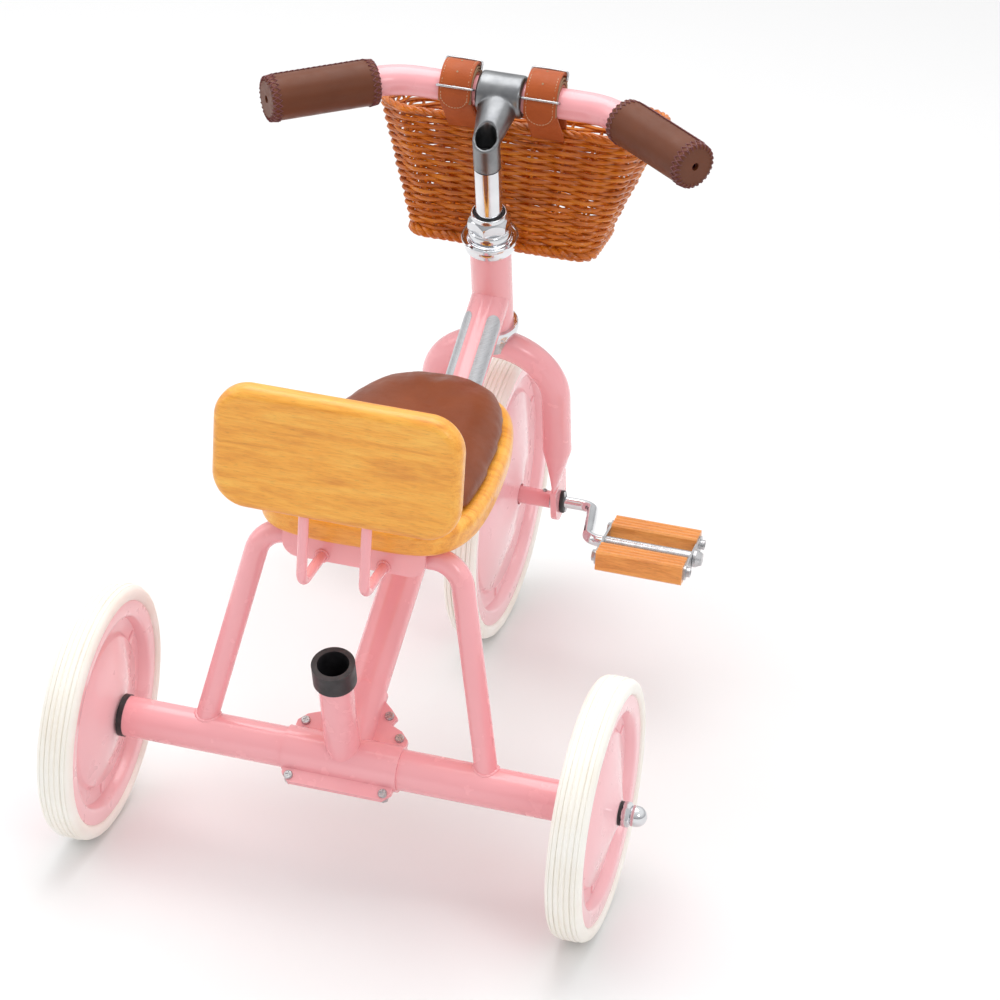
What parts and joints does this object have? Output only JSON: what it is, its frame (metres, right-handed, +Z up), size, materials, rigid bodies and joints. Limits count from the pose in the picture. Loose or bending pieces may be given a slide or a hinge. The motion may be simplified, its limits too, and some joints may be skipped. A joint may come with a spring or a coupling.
{
  "type": "tricycle",
  "caption": "Child's front-pedal tricycle with a padded wooden seat, low backrest, solid tyres, swept handlebar with leather grips, wicker basket and push-bar socket.",
  "frame": {"origin": "on the ground, at the middle of the length and of the width", "axes": "+X forward, +Y to the rider's left, +Z up"},
  "size_m": [0.666, 0.4806, 0.5419],
  "materials": {
    "pink_paint": "glossy pink paint",
    "pink_wheel": "glossy pink moulding",
    "black_plastic": "satin black",
    "chrome": "bright plating",
    "cast_aluminium": "fine cast surface, lightly polished",
    "zinc_steel": "zinc plated",
    "silver_strip": "plain satin foil",
    "white_tyre": "matte cream rubber",
    "hub_plastic": "plain moulding",
    "oak": "clear satin varnish over golden grain",
    "beech": "oiled beech",
    "seat_leather": "smooth matte leatherette",
    "grip_leather": "smooth dark brown, stitched",
    "strap_leather": "grained tan brown, stitched edges",
    "wicker": "glossy orange-brown willow"
  },
  "bodies": {
    "frame": {"head_tube": "pink_paint", "main_tube": "pink_paint", "rear_axle_tube": "pink_paint", "rear_axle_rod": "zinc_steel", "clamp_shell_upper": "pink_paint", "clamp_shell_lower": "pink_paint", "clamp_fasteners": "zinc_steel", "push_bar_socket": "pink_paint", "socket_collar": "black_plastic", "lower_cup": "chrome", "upper_cup": "chrome", "headset_balls": "zinc_steel", "seat_arch": "pink_paint", "seat_plate": "pink_paint", "seat_gusset": "pink_paint", "seat_board": "oak", "seat_cushion": "seat_leather", "seat_screws": "zinc_steel", "backrest_rods": "pink_paint", "backrest_board": "oak", "axle_end_bushes": "black_plastic", "axle_washers": "black_plastic", "axle_nuts": "chrome", "tube_strips": "silver_strip"},
    "steering": {"crown_race": "chrome", "adjusting_cone": "chrome", "locknut": "chrome", "steerer": "zinc_steel", "fork": "pink_paint", "bearing_screws": "zinc_steel", "axle_bearings": "black_plastic", "quill": "chrome", "stem_head": "cast_aluminium", "clamp_bolt": "zinc_steel", "stem_plug": "black_plastic", "stem_expander": "zinc_steel", "handlebar": "pink_paint", "left_grip": "grip_leather", "right_grip": "grip_leather", "basket": "wicker", "left_strap": "strap_leather", "right_strap": "strap_leather", "buckles": "zinc_steel"},
    "front_wheel": {"front_tyre": "white_tyre", "front_disc": "pink_wheel", "hub_sleeve": "pink_paint", "set_screw": "zinc_steel", "crank_axle": "chrome"},
    "left_pedal": {"left_pedal_blocks": "beech", "left_pedal_frame": "zinc_steel", "left_pedal_hardware": "zinc_steel"},
    "right_pedal": {"right_pedal_blocks": "beech", "right_pedal_frame": "zinc_steel", "right_pedal_hardware": "zinc_steel"},
    "left_rear_wheel": {"left_rear_tyre": "white_tyre", "left_rear_disc": "pink_wheel", "left_rear_hub_bush": "hub_plastic"},
    "right_rear_wheel": {"right_rear_tyre": "white_tyre", "right_rear_disc": "pink_wheel", "right_rear_hub_bush": "hub_plastic"}
  },
  "joints": [
    {"name": "steering_turn", "type": "hinge", "parent": "frame", "child": "steering", "pos_m": [0.203, 0, 0.13], "axis": [-0.309, 0, 0.9511], "range_deg": [-75, 75]},
    {"name": "front_wheel_spin", "type": "hinge", "parent": "steering", "child": "front_wheel", "pos_m": [0.203, 0, 0.13], "axis": [0, 1, 0], "continuous": true},
    {"name": "left_pedal_spin", "type": "hinge", "parent": "front_wheel", "child": "left_pedal", "pos_m": [0.2842, 0.152, 0.11859], "axis": [0, 1, 0], "continuous": true},
    {"name": "right_pedal_spin", "type": "hinge", "parent": "front_wheel", "child": "right_pedal", "pos_m": [0.1218, -0.152, 0.14141], "axis": [0, 1, 0], "continuous": true},
    {"name": "left_rear_wheel_spin", "type": "hinge", "parent": "frame", "child": "left_rear_wheel", "pos_m": [-0.231, 0.2005, 0.102], "axis": [0, 1, 0], "continuous": true},
    {"name": "right_rear_wheel_spin", "type": "hinge", "parent": "frame", "child": "right_rear_wheel", "pos_m": [-0.231, -0.2005, 0.102], "axis": [0, 1, 0], "continuous": true}
  ]
}
